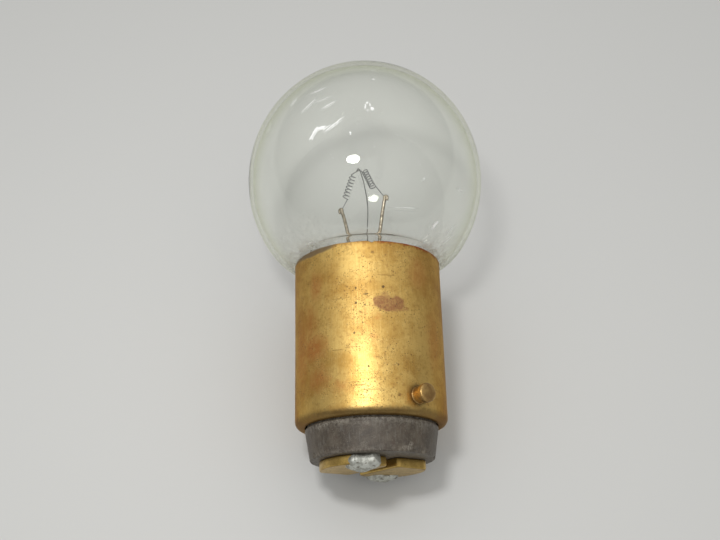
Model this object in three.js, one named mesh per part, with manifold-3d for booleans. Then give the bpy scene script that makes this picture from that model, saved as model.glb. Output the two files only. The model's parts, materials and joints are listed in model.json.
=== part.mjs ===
// Headlight bulb: a clear glass globe with a V-shaped coiled filament, cemented into a brass
// two-pin bayonet base with two contacts.
//
// The lamp is modelled with its axis along +Y: Y = 0 is the lower rim of the brass shell, the
// contacts are below it and the globe is above it. A direction square to the axis is given by its
// azimuth, in degrees from +Z towards +X. At the end the lamp is laid down as it rests on a table,
// on its globe and on the shell's lower rim, with the origin under the middle of it.
// All lengths are in millimetres.

import * as THREE from "three";
import { mergeVertices } from "three/addons/utils/BufferGeometryUtils.js";
import Module from "manifold-3d";

// ---- driving dimensions ----

const CLEARANCE = 0.1; // between pieces that touch on the real lamp
const OVERCUT = 1; // how far a cutting tool reaches past what it cuts

const SHELL = { radius: 10, length: 22.5, wall: 0.4, lipRadius: 8.62, lowerRound: 0.9, upperRound: 0.15 };

const PIN = { azimuth: 36, height: 2.45, radius: 1, headRadius: 1.2, reach: 1.9, headDepth: 0.55 };
const PIN_EDGE = [0.3, 0.25]; // rounding of the head's rim, across and along
const PIN_RIVET = { radius: 1.3, outer: 9.44, inner: 9.1 };
const PIN_HOLE = { gap: 0.05, length: 3.2 };

const INSULATOR = { bottom: -4.26, lowerRadius: 8.12, chamfer: 0.25, collarRadius: 8.72, collar: -0.35 };
const INSULATOR_INSIDE = { radius: 8.46, shoulderRadius: 9, shoulder: 0.6, top: 4.6 };

const CONTACT = { azimuth: -54, thickness: 1.15, arcRadius: 6.9, halfWidth: 4.3, chord: 0.7, corner: 0.7 };
const CONTACT_EDGE = 0.2; // rounding of the plates' edges
const SOLDER = { radius: 1.85, height: 1.0, foot: 0.2 };
const WIRE_EXIT = { radius: 5.2, turn: 40, hole: 0.4 }; // turned from the middle of the contact

const GLOBE = { radius: 16.71, halfLength: 17.45, centre: 35.7, wall: 0.7 };
const SHOULDER = { top: 25.6, edge: [10.5, 22.95], turnIn: [8.7, 22.7], pull: 2.3 };
const NECK = { radius: 8.6, top: 21.2, bottom: 8.2 };

const CEMENT = { bottom: 12, top: 22.2, lipWidth: 0.25, chamferBottom: 21 };

const FLARE = { rimRadius: 7.8, rim: 8.4, tubeRadius: 4, wall: 1, tubeBottom: 13.4, tubeTop: 18 };
const PRESS = { width: 8.6, thickness: 3, bottom: 17, top: 25, round: 1.2, bevel: 0.4 };
const EXHAUST = { radius: 1.4, bore: 0.8, top: 16.9, taper: 8, tip: 5.6, portHeight: 20 };
const MELTED_TIP = { radius: 0.45, height: 0.5, wall: 1.6 };

const MOUNT_AZIMUTH = 57; // the plane that holds both leads and the filament
const LEAD = { radius: 0.25, hole: 0.35, tip: 32.4, foot: 23.4, straight: 0.3 }; // straight above the press
const LEAD_SIDES = [
  { side: -1, press: -2.4, tip: -4 },
  { side: 1, press: 1.9, tip: 3.2 },
];
const SEAL = { radius: 0.2, bottom: 18.8, top: 23.3 };
const OUTER_LEAD = { radius: 0.25, top: 18.7, bend: 10.5, knee: 6, bottom: -5.9 };

const FILAMENT = { wire: 0.085, coilRadius: 0.4, turns: 8.5, pointsPerTurn: 8, sides: 5 };
const COILS = [
  { from: [-3.4, 33.9], to: [-1.96, 37.24], startTurn: 0.5 },
  { from: [0, 37.5], to: [1.35, 34.4], startTurn: 0.5 },
];
const APEX = [-0.92, 37.75];
const LEG = { height: 31.8, gap: 0.05 }; // where each filament leg ends beside its lead
const SUPPORT = { radius: 0.14, hole: 0.25 };
const SUPPORT_ROUTE = [
  [0, 23.5, -0.1],
  [0, 27.5, -0.3],
  [0, 32, -0.7],
  [0.1, 36.8, -0.9],
  [0.2, 37.9, -0.8],
  [0, 38.4, -0.2],
  [-0.35, 38.2, 0.38],
  [-0.5, 37.6, 0.52],
];

const ROUND = 32; // facets round the large turned pieces, one of them facing the table
const STEM_ROUND = 24;
const SMALL_ROUND = 16;
const WIRE_SIDES = 6;
const ARC_STEPS = { roll: 5, rollInside: 3, shellEdge: 2, pinEdge: 3, solder: 5, flare: 6 };
const BULB_STEPS = { neck: 5, shoulder: 4, globe: 13 };
const WIRE_STEPS = { outerLead: 20, innerLead: 12, support: 32, filamentLegs: 20 };
const LENGTH_SAMPLES = 20; // per point of a wire's route
const MERGE_DISTANCE = 1e-4;
const TILT_ROUNDS = 40; // far more than the tilt needs to settle

// ---- helpers ----

const wasm = await Module();
wasm.setup();

const radians = THREE.MathUtils.degToRad;
const contactPlateTop = INSULATOR.bottom - CLEARANCE;
const contactFace = contactPlateTop - CONTACT.thickness;
const shellInner = SHELL.radius - SHELL.wall;

/** A closed three.js geometry as a manifold-3d solid, for cutting and joining. */
function toSolid(geometry) {
  const bare = geometry.clone();
  bare.deleteAttribute("normal");
  bare.deleteAttribute("uv");
  const merged = mergeVertices(bare, MERGE_DISTANCE);
  const mesh = new wasm.Mesh({
    numProp: 3,
    vertProperties: merged.attributes.position.array,
    triVerts: new Uint32Array(merged.index.array),
  });
  return new wasm.Manifold(mesh);
}

/** A manifold-3d solid back as a three.js geometry. */
function toGeometry(solid) {
  const mesh = solid.getMesh();
  const geometry = new THREE.BufferGeometry();
  geometry.setAttribute("position", new THREE.BufferAttribute(mesh.vertProperties, 3));
  geometry.setIndex(new THREE.BufferAttribute(mesh.triVerts, 1));
  geometry.computeVertexNormals();
  return geometry;
}

/** The body with each tool cut away from it. */
function cut(body, tools) {
  let solid = toSolid(body);
  for (const tool of tools) solid = solid.subtract(toSolid(tool));
  return toGeometry(solid);
}

/** A solid of revolution about Y, with a facet facing +Z. The outer side of the profile runs upwards. */
function turned(profile, facets) {
  const points = profile.map(([r, y]) => new THREE.Vector2(r, y));
  return new THREE.LatheGeometry(points, facets, Math.PI / facets);
}

/** The point at this distance from the lamp's axis, in the direction of the azimuth. */
function around(azimuth, distance, height) {
  const angle = radians(azimuth);
  return new THREE.Vector3(distance * Math.sin(angle), height, distance * Math.cos(angle));
}

/** A point of the filament mount: along the plane of the leads, up, and out of that plane. */
function inMount(along, height, out = 0) {
  return around(MOUNT_AZIMUTH, along, height).add(around(MOUNT_AZIMUTH - 90, out, 0));
}

/** A round rod parallel to the lamp's axis. */
function rod(radius, bottom, top, centre) {
  const geometry = new THREE.CylinderGeometry(radius, radius, top - bottom, SMALL_ROUND);
  return geometry.translate(centre.x, (bottom + top) / 2, centre.z);
}

/** A round wire along a smooth curve through the points. */
function wire(points, radius, steps, sides = WIRE_SIDES) {
  const corners = [];
  for (let i = 0; i < sides; i++) {
    const angle = (2 * Math.PI * i) / sides;
    corners.push(new THREE.Vector2(radius * Math.cos(angle), radius * Math.sin(angle)));
  }
  const path = new THREE.CatmullRomCurve3(points);
  path.arcLengthDivisions = points.length * LENGTH_SAMPLES;
  return new THREE.ExtrudeGeometry(new THREE.Shape(corners), { steps, extrudePath: path });
}

/** Points of an arc of a circle or ellipse from one angle to another, in degrees. */
function arc(centre, radii, from, to, count) {
  const curve = new THREE.EllipseCurve(...centre, ...radii, radians(from), radians(to), from > to);
  return curve.getPoints(count).map((p) => [p.x, p.y]);
}

// ---- materials ----

function finish(color, roughness, metalness, extra = {}) {
  return new THREE.MeshStandardMaterial({ color, roughness, metalness, ...extra });
}

const agedBrass = () => finish(0xb8934a, 0.42, 1);
const pinBrass = () => finish(0xa98242, 0.38, 1);
const contactBrass = () => finish(0xb99a4e, 0.4, 1);
const insulatorGrey = () => finish(0x4a443e, 0.85, 0);
const solderGrey = () => finish(0xa9aaa4, 0.55, 1);
const cementBrown = () => finish(0x9b8a72, 0.95, 0);
const clearGlass = () => finish(0xdfe8dc, 0.05, 0, { transparent: true, opacity: 0.25 });
const stemGlass = () => finish(0xd6e0d6, 0.08, 0, { transparent: true, opacity: 0.4 });
const copperWire = () => finish(0xb06a45, 0.45, 1);
const sealWire = () => finish(0x9c4a32, 0.5, 1);
const nickelWire = () => finish(0xb9b3a6, 0.35, 1);
const molybdenumWire = () => finish(0x55544f, 0.5, 1);
const tungstenWire = () => finish(0x8f8f8c, 0.4, 1);

// ---- base ----

/** Brass tube whose lower edge is rolled in under the insulator, with a hole for each pin. */
function baseShell() {
  const { radius, length, wall, lipRadius, lowerRound, upperRound } = SHELL;
  const inside = lowerRound - wall;
  const profile = [
    [lipRadius, 0],
    ...arc([radius - lowerRound, lowerRound], [lowerRound, lowerRound], -90, 0, ARC_STEPS.roll),
    ...arc([radius - upperRound, length - upperRound], [upperRound, upperRound], 0, 90, ARC_STEPS.shellEdge),
    [shellInner, length],
    ...arc([radius - lowerRound, lowerRound], [inside, inside], 0, -90, ARC_STEPS.rollInside),
    [lipRadius, wall],
    [lipRadius, 0],
  ];
  const holeRadius = PIN.radius + PIN_HOLE.gap;
  const holes = [0, 180].map((turn) => {
    const hole = new THREE.CylinderGeometry(holeRadius, holeRadius, PIN_HOLE.length, SMALL_ROUND);
    hole.rotateX(Math.PI / 2).translate(0, PIN.height, radius).rotateY(radians(PIN.azimuth + turn));
    return hole;
  });
  return cut(turned(profile, ROUND), holes);
}

/** Bayonet pin, turned about its own axis and riveted inside the shell, with a swelled head. */
function bayonetPin() {
  const end = SHELL.radius + PIN.reach;
  return turned(
    [
      [0, PIN_RIVET.inner],
      [PIN_RIVET.radius, PIN_RIVET.inner],
      [PIN_RIVET.radius, PIN_RIVET.outer],
      [PIN.radius, PIN_RIVET.outer],
      [PIN.radius, end - 2 * PIN.headDepth],
      [PIN.headRadius, end - PIN.headDepth],
      ...arc([PIN.headRadius - PIN_EDGE[0], end - PIN_EDGE[1]], PIN_EDGE, 0, 90, ARC_STEPS.pinEdge),
      [0, end],
    ],
    SMALL_ROUND,
  );
}

/** Moulded plug that closes the shell: it narrows downwards and has two holes for the leads. */
function insulator() {
  const { bottom, lowerRadius, chamfer, collarRadius, collar } = INSULATOR;
  const { radius, shoulderRadius, shoulder, top } = INSULATOR_INSIDE;
  const body = turned(
    [
      [0, bottom],
      [lowerRadius - chamfer, bottom],
      [lowerRadius, bottom + chamfer],
      [collarRadius, collar],
      [radius, -CLEARANCE],
      [radius, shoulder],
      [shoulderRadius, shoulder],
      [shoulderRadius, top],
      [0, top],
    ],
    ROUND,
  );
  return cut(body, wireExits().map((exit) => rod(WIRE_EXIT.hole, bottom - OVERCUT, top + OVERCUT, exit)));
}

/** Where the two leads leave the insulator, one beside each contact's end. */
function wireExits() {
  return [0, 180].map((turn) => around(CONTACT.azimuth + WIRE_EXIT.turn + turn, WIRE_EXIT.radius, 0));
}

/** D-shaped contact plate. Its outline's +Y side faces away from the lamp's axis. */
function contactPlate() {
  const edge = CONTACT_EDGE;
  const arcRadius = CONTACT.arcRadius - edge;
  const side = CONTACT.halfWidth - edge;
  const chord = CONTACT.chord + edge;
  const corner = CONTACT.corner;
  const sideTop = Math.sqrt(arcRadius ** 2 - side ** 2);
  const turn = corner / arcRadius;
  const sideAngle = Math.acos(side / arcRadius);

  const outline = new THREE.Shape();
  outline.moveTo(-side + corner, chord);
  outline.lineTo(side - corner, chord);
  outline.quadraticCurveTo(side, chord, side, chord + corner);
  outline.lineTo(side, sideTop - corner);
  const arcStart = sideAngle + turn;
  outline.quadraticCurveTo(side, sideTop, arcRadius * Math.cos(arcStart), arcRadius * Math.sin(arcStart));
  outline.absarc(0, 0, arcRadius, arcStart, Math.PI - arcStart, false);
  outline.quadraticCurveTo(-side, sideTop, -side, sideTop - corner);
  outline.lineTo(-side, chord + corner);
  outline.quadraticCurveTo(-side, chord, -side + corner, chord);

  const exit = around(WIRE_EXIT.turn, WIRE_EXIT.radius, 0);
  const hole = arc([exit.x, exit.z], [WIRE_EXIT.hole + edge, WIRE_EXIT.hole + edge], 0, 360, SMALL_ROUND);
  outline.holes.push(new THREE.Path(hole.slice(1).map(([x, y]) => new THREE.Vector2(x, y))));

  const plate = new THREE.ExtrudeGeometry(outline, {
    depth: CONTACT.thickness - 2 * edge,
    bevelThickness: edge,
    bevelSize: edge,
    bevelSegments: 2,
    curveSegments: 4,
  });
  return plate.translate(0, 0, edge);
}

/** Dome of solder, standing up along Y, with a blind hole for the end of its lead. */
function solder() {
  const { radius, height, foot } = SOLDER;
  const skin = arc([0, foot], [radius, height - foot], 0, 90, ARC_STEPS.solder);
  const dome = turned([[0, 0], [radius, 0], ...skin], SMALL_ROUND);
  const depth = contactFace - OUTER_LEAD.bottom + CLEARANCE;
  return cut(dome, [rod(LEAD.hole, -OVERCUT, depth, new THREE.Vector3())]);
}

/** Ring of cement between the glass neck and the shell. */
function basingCement() {
  const outer = shellInner - CLEARANCE;
  const inner = NECK.radius + CLEARANCE;
  return turned(
    [
      [inner, CEMENT.bottom],
      [outer, CEMENT.bottom],
      [outer, CEMENT.top],
      [outer - CEMENT.lipWidth, CEMENT.top],
      [inner, CEMENT.chamferBottom],
      [inner, CEMENT.bottom],
    ],
    ROUND,
  );
}

// ---- glass ----

/** Outside of the bulb from the bottom of its neck up to the top of the globe. */
function bulbOutline() {
  const sine = (SHOULDER.top - GLOBE.centre) / GLOBE.halfLength;
  const angle = Math.asin(sine);
  const start = new THREE.Vector2(GLOBE.radius * Math.cos(angle), SHOULDER.top);
  const down = new THREE.Vector2(GLOBE.radius * sine, -GLOBE.halfLength * Math.cos(angle)).normalize();
  const pulled = start.clone().addScaledVector(down, SHOULDER.pull);
  const edge = new THREE.Vector2(...SHOULDER.edge);
  const turnIn = new THREE.Vector2(...SHOULDER.turnIn);
  const neckTop = new THREE.Vector2(NECK.radius, NECK.top);
  const lower = new THREE.QuadraticBezierCurve(neckTop, turnIn, edge).getPoints(BULB_STEPS.neck);
  const upper = new THREE.QuadraticBezierCurve(edge, pulled, start).getPoints(BULB_STEPS.shoulder);
  const globe = new THREE.EllipseCurve(0, GLOBE.centre, GLOBE.radius, GLOBE.halfLength, angle, Math.PI / 2);
  const points = [new THREE.Vector2(NECK.radius, NECK.bottom), ...lower];
  points.push(...upper.slice(1), ...globe.getPoints(BULB_STEPS.globe).slice(1));
  points.at(-1).x = 0;
  return points;
}

/** The outline moved inwards by the wall, square to itself at each point. */
function innerOutline(outline, wall) {
  return outline.map((point, i) => {
    const before = outline[Math.max(i - 1, 0)];
    const after = outline[Math.min(i + 1, outline.length - 1)];
    const along = after.clone().sub(before).normalize();
    if (i === outline.length - 1) along.set(-1, 0);
    if (i === 0) along.set(0, 1);
    return new THREE.Vector2(point.x - wall * along.y, point.y + wall * along.x);
  });
}

/** Blown bulb: globe and neck in one wall, open at the bottom of the neck. */
function glassBulb() {
  const outside = bulbOutline();
  const inside = innerOutline(outside, GLOBE.wall).reverse();
  return turned([...outside, ...inside, outside[0]].map(({ x, y }) => [x, y]), ROUND);
}

/** Glass stem: a flared tube whose upper end is pressed flat round the lead wires. */
function stem() {
  const { rimRadius, rim, tubeRadius, wall, tubeBottom, tubeTop } = FLARE;
  const bore = tubeRadius - wall;
  const centre = [rimRadius, tubeBottom];
  const outer = arc(centre, [rimRadius - tubeRadius, tubeBottom - rim - wall], -90, -180, ARC_STEPS.flare);
  const inner = arc(centre, [rimRadius - bore, tubeBottom - rim], -180, -90, ARC_STEPS.flare);
  const tube = turned([...outer, [tubeRadius, tubeTop], [bore, tubeTop], ...inner, outer[0]], STEM_ROUND);

  const half = PRESS.width / 2;
  const block = new THREE.Shape();
  block.moveTo(-half, PRESS.bottom);
  block.lineTo(half, PRESS.bottom);
  block.lineTo(half, PRESS.top - PRESS.round);
  block.quadraticCurveTo(half, PRESS.top, half - PRESS.round, PRESS.top);
  block.lineTo(-half + PRESS.round, PRESS.top);
  block.quadraticCurveTo(-half, PRESS.top, -half, PRESS.top - PRESS.round);
  block.lineTo(-half, PRESS.bottom);
  const bevel = PRESS.bevel;
  const press = new THREE.ExtrudeGeometry(block, {
    depth: PRESS.thickness - 2 * bevel,
    bevelThickness: bevel,
    bevelSize: bevel,
    bevelOffset: -bevel,
    bevelSegments: 2,
    curveSegments: 4,
  });
  press.translate(0, 0, bevel - PRESS.thickness / 2).rotateY(radians(MOUNT_AZIMUTH - 90));

  const tools = LEAD_SIDES.map(({ press: along }) => {
    return rod(LEAD.hole, PRESS.bottom - OVERCUT, PRESS.top + OVERCUT, inMount(along, 0));
  });
  const [along, foot, out] = SUPPORT_ROUTE[0];
  tools.push(rod(SUPPORT.hole, foot - CLEARANCE, PRESS.top + OVERCUT, inMount(along, 0, out)));
  tools.push(rod(EXHAUST.bore, PRESS.bottom - OVERCUT, EXHAUST.portHeight, new THREE.Vector3()));
  const port = new THREE.CylinderGeometry(EXHAUST.bore, EXHAUST.bore, PRESS.thickness, SMALL_ROUND);
  port.rotateX(Math.PI / 2).translate(0, EXHAUST.portHeight, PRESS.thickness / 2);
  tools.push(port.rotateY(radians(MOUNT_AZIMUTH - 90)));
  return cut(toGeometry(toSolid(tube).add(toSolid(press))), tools);
}

/** Thin tube that the air was pumped out through, melted shut at its lower tip. */
function exhaustTube() {
  const { radius, bore, top, taper, tip } = EXHAUST;
  return turned(
    [
      [0, tip],
      [MELTED_TIP.radius, tip + MELTED_TIP.height],
      [radius, taper],
      [radius, top],
      [bore, top],
      [bore, taper],
      [0, tip + MELTED_TIP.wall],
    ],
    SMALL_ROUND,
  );
}

// ---- wires and filament ----

/** Lead between the contact and the stem: up from the solder, then bent in to the press. */
function outerLead(lead, exit) {
  const top = inMount(lead.press, OUTER_LEAD.top);
  const bend = inMount(lead.press, OUTER_LEAD.bend);
  const heights = [OUTER_LEAD.bottom, 0, INSULATOR_INSIDE.top, OUTER_LEAD.knee];
  const route = [...heights.map((y) => exit.clone().setY(y)), bend, bend.clone().lerp(top, 0.5), top];
  return wire(route, OUTER_LEAD.radius, WIRE_STEPS.outerLead);
}

/** Short wire that the glass seals to, inside the press. */
function sealLead(lead) {
  return rod(SEAL.radius, SEAL.bottom, SEAL.top, inMount(lead.press, 0));
}

/** The lead's axis above the press, leaning outwards to the filament. */
function innerLeadAt(lead, height) {
  const share = THREE.MathUtils.clamp((height - PRESS.top) / (LEAD.tip - PRESS.top), 0, 1);
  return THREE.MathUtils.lerp(lead.press, lead.tip, share);
}

/** Stiff lead that stands on the press and holds one end of the filament. */
function innerLead(lead) {
  const heights = [LEAD.foot, (LEAD.foot + PRESS.top) / 2, PRESS.top + LEAD.straight, LEAD.tip];
  return wire(heights.map((y) => inMount(innerLeadAt(lead, y), y)), LEAD.radius, WIRE_STEPS.innerLead);
}

/** Wire that holds up the middle of the filament with a hook. */
function supportWire() {
  const route = SUPPORT_ROUTE.map(([along, height, out]) => inMount(along, height, out));
  return wire(route, SUPPORT.radius, WIRE_STEPS.support);
}

/** Points of one coil of the filament, along its axis from one end to the other. */
function coilPoints({ from, to, startTurn }) {
  const start = inMount(...from);
  const axis = inMount(...to).sub(start);
  const side = around(MOUNT_AZIMUTH - 90, 1, 0);
  const across = side.clone().cross(axis).normalize();
  const points = [];
  const count = FILAMENT.turns * FILAMENT.pointsPerTurn;
  for (let i = 0; i <= count; i++) {
    const angle = 2 * Math.PI * (startTurn + i / FILAMENT.pointsPerTurn);
    const point = start.clone().addScaledVector(axis, i / count);
    point.addScaledVector(across, FILAMENT.coilRadius * Math.cos(angle));
    point.addScaledVector(side, FILAMENT.coilRadius * Math.sin(angle));
    points.push(point);
  }
  return points;
}

/** Where a filament leg ends, on the inner side of its lead. */
function legEnd(lead) {
  const beside = LEAD.radius + FILAMENT.wire + LEG.gap;
  return inMount(innerLeadAt(lead, LEG.height) - lead.side * beside, LEG.height);
}

/** One tungsten wire: a leg, a coil up, the bridge in the hook, a coil down and a leg. */
function filament() {
  const [left, right] = LEAD_SIDES;
  const points = [legEnd(left), ...coilPoints(COILS[0]), inMount(...APEX)];
  points.push(...coilPoints(COILS[1]), legEnd(right));
  return wire(points, FILAMENT.wire, points.length + WIRE_STEPS.filamentLegs, FILAMENT.sides);
}

// ---- assembly ----

const lamp = new THREE.Group();

function add(name, geometry, material, parent = lamp) {
  const mesh = new THREE.Mesh(geometry, material);
  mesh.name = name;
  parent.add(mesh);
  return mesh;
}

add("base_shell", baseShell(), agedBrass());
add("insulator", insulator(), insulatorGrey());
add("basing_cement", basingCement(), cementBrown());
add("glass_bulb", glassBulb(), clearGlass());
add("stem", stem(), stemGlass());
add("exhaust_tube", exhaustTube(), stemGlass());
add("support_wire", supportWire(), molybdenumWire());
add("filament", filament(), tungstenWire());

[0, 180].forEach((turn, i) => {
  const number = i + 1;

  const pinSide = new THREE.Group();
  pinSide.rotation.y = radians(PIN.azimuth + turn);
  lamp.add(pinSide);
  const pin = add(`bayonet_pin_${number}`, bayonetPin(), pinBrass(), pinSide);
  pin.position.y = PIN.height;
  pin.rotation.x = Math.PI / 2;

  const contactSide = new THREE.Group();
  contactSide.rotation.y = radians(CONTACT.azimuth + turn);
  lamp.add(contactSide);
  const plate = add(`contact_plate_${number}`, contactPlate(), contactBrass(), contactSide);
  plate.position.y = contactPlateTop;
  plate.rotation.x = Math.PI / 2;
  const blob = add(`contact_solder_${number}`, solder(), solderGrey(), contactSide);
  blob.position.copy(around(WIRE_EXIT.turn, WIRE_EXIT.radius, contactFace - CLEARANCE));
  blob.rotation.x = Math.PI;
});

// The lead on the +X side of the mount goes to the contact in front of it, contact 1.
const exits = wireExits();
LEAD_SIDES.toReversed().forEach((lead, i) => {
  const number = i + 1;
  add(`lead_outer_${number}`, outerLead(lead, exits[i]), copperWire());
  add(`lead_seal_${number}`, sealLead(lead), sealWire());
  add(`lead_inner_${number}`, innerLead(lead), nickelWire());
});

// ---- laid on a table ----

// The axis rises towards the globe, so that the globe and the rounded lower rim of the shell both
// touch the table. Heights are taken down to the flat of the facets that face it.
function restingTilt() {
  const flat = Math.cos(Math.PI / ROUND);
  const rimArm = GLOBE.centre - SHELL.lowerRound;
  let tilt = 0;
  for (let i = 0; i < TILT_ROUNDS; i++) {
    const across = flat * Math.cos(tilt);
    const globeDepth = Math.hypot(GLOBE.radius * across, GLOBE.halfLength * Math.sin(tilt));
    const rimDepth = (SHELL.radius - SHELL.lowerRound) * across + SHELL.lowerRound;
    tilt = Math.asin((globeDepth - rimDepth) / rimArm);
  }
  return tilt;
}

lamp.rotation.x = restingTilt();
const part = new THREE.Group();
part.add(lamp);
const box = new THREE.Box3().setFromObject(part, true);
lamp.position.set(-(box.min.x + box.max.x) / 2, -(box.min.y + box.max.y) / 2, -box.min.z);

export default part;
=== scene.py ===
# Headlight bulb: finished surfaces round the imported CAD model, with floor, lights and camera.
#
# Pieces are worked out in the lamp's own coordinates, in millimetres: X to its right, Y up its axis
# from the shell's lower rim, Z towards its front. An azimuth is in degrees about the axis, from the
# front (+Z) towards the right (+X). The matrix LAMP puts the lamp on the table.

import json
import math
from collections import namedtuple

import bpy
from mathutils import Matrix, Vector, noise


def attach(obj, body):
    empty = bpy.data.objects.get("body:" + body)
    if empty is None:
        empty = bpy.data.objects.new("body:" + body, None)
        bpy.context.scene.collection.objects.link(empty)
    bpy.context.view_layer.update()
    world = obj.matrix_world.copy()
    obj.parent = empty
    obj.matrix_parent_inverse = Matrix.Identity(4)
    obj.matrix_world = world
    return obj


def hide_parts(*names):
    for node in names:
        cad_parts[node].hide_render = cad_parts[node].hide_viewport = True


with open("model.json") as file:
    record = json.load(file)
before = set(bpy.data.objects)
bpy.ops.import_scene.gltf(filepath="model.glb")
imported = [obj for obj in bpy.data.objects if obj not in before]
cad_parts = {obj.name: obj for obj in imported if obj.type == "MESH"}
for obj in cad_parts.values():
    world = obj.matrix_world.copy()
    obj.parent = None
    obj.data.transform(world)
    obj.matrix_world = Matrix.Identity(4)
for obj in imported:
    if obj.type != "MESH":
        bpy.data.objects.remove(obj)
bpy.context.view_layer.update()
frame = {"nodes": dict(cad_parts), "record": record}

# ---- the lamp's place, from the frame ----

MM = 0.001
PIN_HEIGHT = 2.45  # of the mount above the shell's lower rim

base_mount = next(m for m in frame["record"]["mounts"] if m["name"] == "bayonet_base")
lamp_up = -Vector(base_mount["axis"]).normalized()
lamp_right = Vector((1, 0, 0))
lamp_front = lamp_right.cross(lamp_up)
rim_centre = Vector(base_mount["pos_m"]) - lamp_up * PIN_HEIGHT * MM
LAMP = Matrix.Translation(rim_centre) @ Matrix((lamp_right, lamp_up, lamp_front)).transposed().to_4x4()
LAMP = LAMP @ Matrix.Scale(MM, 4)


def extent(node):
    """A CAD node's lowest and highest place along the lamp's axis, and its radius."""
    to_lamp = LAMP.inverted()
    places = [to_lamp @ vertex.co for vertex in frame["nodes"][node].data.vertices]
    heights = [p.y for p in places]
    return min(heights), max(heights), max(math.hypot(p.x, p.z) for p in places)


# ---- driving dimensions ----

ON_AXIS = 1e-6  # a point this near counts as on the axis

SHELL_BOTTOM, SHELL_TOP, SHELL_RADIUS = extent("base_shell")
SHELL_WALL = 0.4
SHELL_ROLL = 0.9  # rounding of the rolled lower edge
SHELL_LIP = 8.62

NECK_BOTTOM, GLOBE_TOP, GLOBE_RADIUS = extent("glass_bulb")
GLOBE_HALF = 17.45
GLOBE_CENTRE = GLOBE_TOP - GLOBE_HALF
GLASS_WALL = 0.62
SHOULDER_TOP = 25.6
SHOULDER_EDGE = (10.5, 22.95)
SHOULDER_TURN = (8.7, 22.7)
SHOULDER_PULL = 2.3
NECK_RADIUS, NECK_TOP = 8.6, 21.2

PLUG_BOTTOM, PLUG_TOP, PLUG_SHOULDER = extent("insulator")
PLUG_RADIUS, PLUG_STEP = 8.46, 0.6  # inside the shell
PLUG_COLLAR, PLUG_COLLAR_HEIGHT = 8.72, -0.35
PLUG_LOWER = 8.12

PIN_AZIMUTHS = (36, 216)
PIN_RADIUS, PIN_HEAD = 1.0, 1.2
PIN_END = extent("bayonet_pin_1")[2]

CONTACT_AZIMUTHS = (-54, 126)
CONTACT_TOP = PLUG_BOTTOM
CONTACT_FACE = extent("contact_plate_1")[0]
CONTACT_ARC, CONTACT_HALF, CONTACT_CHORD, CONTACT_CORNER = 6.9, 4.3, 0.7, 0.7
WIRE_EXIT_RADIUS, WIRE_EXIT_TURN = 5.2, 40
SOLDER_FACE = extent("contact_solder_1")[0]
# The solder's round lumps: sideways, outwards and upwards from its middle, radius.
SOLDER_BLOBS = [
    (0, 0, 0, 1.45), (1.15, 0.35, 0.25, 1.15), (1.7, 0.5, 0.75, 0.85), (-1.2, 0.1, 0.15, 1),
    (-0.5, 0.95, 0.5, 0.95), (0.3, -0.9, 0.1, 0.8),
]

CEMENT_BOTTOM, CEMENT_TOP, CEMENT_RADIUS = extent("basing_cement")

# Corners round the turned pieces, and round the wires.
SHELL_SEGMENTS, PLUG_SEGMENTS, RING_SEGMENTS, SMALL_SEGMENTS = 256, 224, 200, 64
LEAD_SIDES, WIRE_SIDES, FILAMENT_SIDES = 20, 16, 10
SHORT_STEPS, WIRE_STEPS = 8, 10  # from one point of a wire's route to the next

MOUNT_AZIMUTH = 57  # plane of the leads and the filament
PRESS_TOP = extent("stem")[1]
Lead = namedtuple("Lead", "number side press tip")  # press and tip: place along the mount
LEADS = [Lead(2, -1, -2.4, -4.0), Lead(1, 1, 1.9, 3.2)]
LEAD_TIP, LEAD_FOOT = 32.4, 23.4
LEAD_RADIUS = 0.25
SEAL_BOTTOM, SEAL_TOP, SEAL_RADIUS = 18.8, 23.3, 0.2
OUTER_HEIGHTS = (-5.9, 0, 4.6, 6)  # where an outer lead runs straight up
OUTER_BEND, OUTER_TOP = 10.5, 18.7
FILAMENT_WIRE = 0.07
COIL_RADIUS, COIL_TURNS = 0.42, 7.5
COILS = [((-3.4, 33.9), (-1.96, 37.24)), ((0.0, 37.5), (1.35, 34.4))]
FILAMENT_APEX = (-0.92, 37.75)
SUPPORT_RADIUS = 0.075
SUPPORT_ROUTE = [
    (0, 23.5, -0.1), (0, 27.5, -0.3), (0, 32, -0.6), (-0.55, 35.4, -0.8), (-0.9, 37.2, -0.65),
    (-0.98, 37.95, -0.25), (-1, 37.95, 0.2), (-1.05, 37.55, 0.35),
]

# ---- camera, light and floor ----

CAMERA_PLACE = (-1.0, -22.8, 119.8)
CAMERA_TARGET = (-1.0, 22.2, 0.0)
CAMERA_ROLL = -1.45  # degrees
CAMERA_LENS = 45.9
LIGHT_PLACE, LIGHT_TARGET = (-24, 28, 140), (0, 22, 0)
LIGHT_SIZE, LIGHT_WATTS = (28, 17), 0.075
SKY_LOW, SKY_HIGH = 0.17, 0.95  # brightness near the horizon and overhead
SKY_COLOUR, FLOOR_COLOUR = (1.0, 1.0, 0.985, 1), (0.6, 0.6, 0.585)
FLOOR_HALF, FLOOR_ROUGHNESS = 8, 0.7  # metres from the middle to an edge


def looking(place, target, roll=0.0):
    """The matrix of a camera or light aimed at a target, its top towards the globe."""
    start, end = LAMP @ Vector(place), LAMP @ Vector(target)
    back = (start - end).normalized()
    up = back.cross(lamp_up.cross(back).normalized())
    up = Matrix.Rotation(math.radians(roll), 3, back) @ up
    axes = Matrix((up.cross(back), up, back)).transposed()
    return Matrix.Translation(start) @ axes.to_4x4()


def add_object(name, data):
    made = bpy.data.objects.new(name, data)
    bpy.context.scene.collection.objects.link(made)
    return made


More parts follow.
